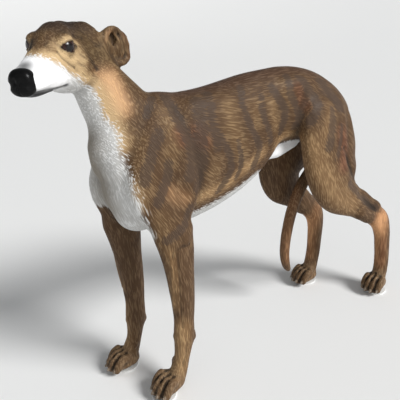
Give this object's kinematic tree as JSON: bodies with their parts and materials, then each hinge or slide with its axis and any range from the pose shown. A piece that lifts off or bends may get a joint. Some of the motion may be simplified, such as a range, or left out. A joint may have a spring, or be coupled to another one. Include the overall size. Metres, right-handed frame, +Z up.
{
  "type": "greyhound statue",
  "caption": "Standing smooth-coated sighthound with its head turned to its left and its tail hanging down, on round felt pads; a free-standing ornament.",
  "frame": {"origin": "on the table, under the middle of the statue's bounding box", "axes": "-X the way the dog's body faces, +X towards its tail, -Y its left side, +Z up"},
  "size_m": [0.2584, 0.0722, 0.2159],
  "materials": {
    "painted_resin": "hand painted, satin",
    "white_felt": "felt"
  },
  "bodies": {
    "root": {"greyhound": "painted_resin", "foot_pad_front_left": "white_felt", "foot_pad_front_right": "white_felt", "foot_pad_rear_left": "white_felt", "foot_pad_rear_right": "white_felt"}
  },
  "joints": []
}
